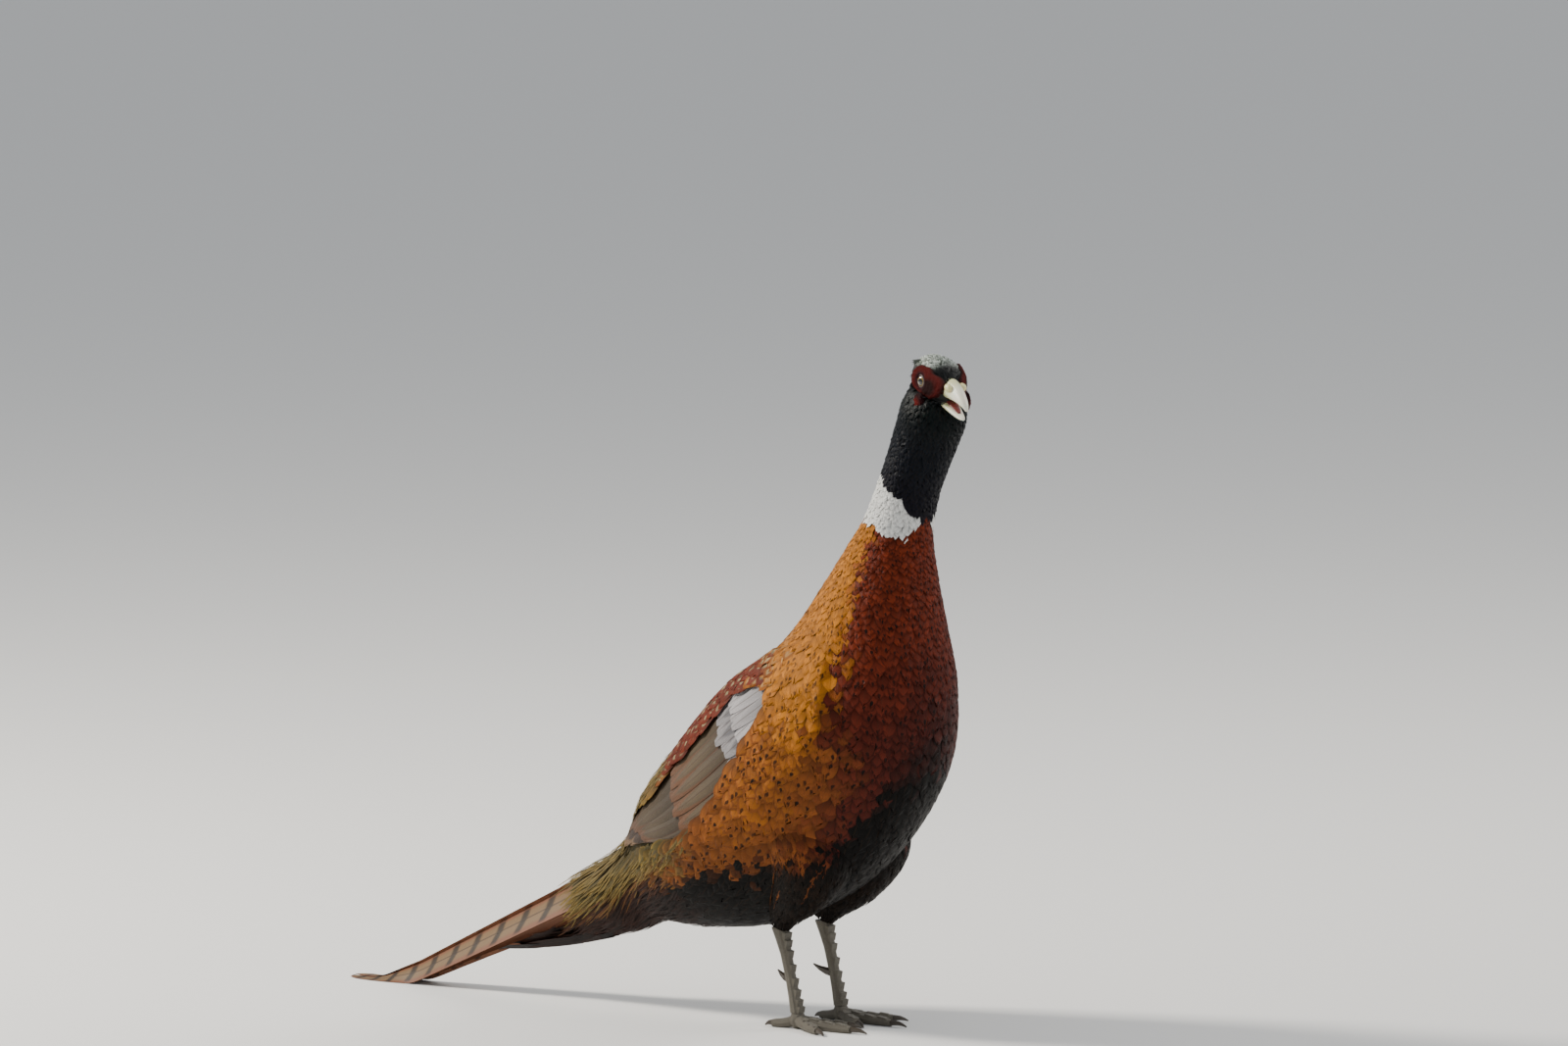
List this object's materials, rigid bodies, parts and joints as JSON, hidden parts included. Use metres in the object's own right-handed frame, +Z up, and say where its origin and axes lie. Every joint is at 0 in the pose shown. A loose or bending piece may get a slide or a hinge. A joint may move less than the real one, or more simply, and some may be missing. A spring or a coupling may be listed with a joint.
{
  "type": "common pheasant",
  "caption": "Life-size standing cock pheasant with a white neck ring, folded wings, turned head and a long pointed tail whose tip rests on the floor.",
  "frame": {"origin": "middle of the bounding box on the floor, under the bird", "axes": "+X the way the breast faces and the long way of the bird, +Y to the bird's left, +Z up"},
  "size_m": [0.6192, 0.1668, 0.5204],
  "materials": {
    "rump_feathers": "matt hair-like feathers, olive and straw",
    "body_feathers": "glossy coppery feathers with dark edges",
    "neck_feathers": "glossy blue-green black feathers",
    "collar_feathers": "matt white feathers",
    "head_feathers": "short bronze-green feathers with a sheen",
    "wattle_skin": "bare red skin with fine bumps",
    "eye": "wet cornea over a pale iris and black pupil",
    "bill_horn": "smooth ivory horn",
    "tongue_skin": "moist skin",
    "wing_feathers": "silver-grey and barred brown feathers",
    "tail_feathers": "buff feathers with dark bars",
    "thigh_feathers": "matt dark brown feathers",
    "leg_scales": "dry grey scaled skin",
    "claw_horn": "dark horn"
  },
  "bodies": {
    "root": {"rump": "rump_feathers", "torso": "body_feathers", "neck_lower": "neck_feathers", "collar": "collar_feathers", "neck_upper": "neck_feathers", "head": "head_feathers", "bill_upper": "bill_horn", "bill_lower": "bill_horn", "tongue": "tongue_skin", "tail": "tail_feathers", "eye_left": "eye", "wattle_left": "wattle_skin", "wing_left": "wing_feathers", "thigh_left": "thigh_feathers", "shank_left": "leg_scales", "spur_left": "claw_horn", "foot_left": "leg_scales", "claw_inner_left": "claw_horn", "claw_middle_left": "claw_horn", "claw_outer_left": "claw_horn", "claw_hind_left": "claw_horn", "eye_right": "eye", "wattle_right": "wattle_skin", "wing_right": "wing_feathers", "thigh_right": "thigh_feathers", "shank_right": "leg_scales", "spur_right": "claw_horn", "foot_right": "leg_scales", "claw_inner_right": "claw_horn", "claw_middle_right": "claw_horn", "claw_outer_right": "claw_horn", "claw_hind_right": "claw_horn"}
  },
  "joints": []
}
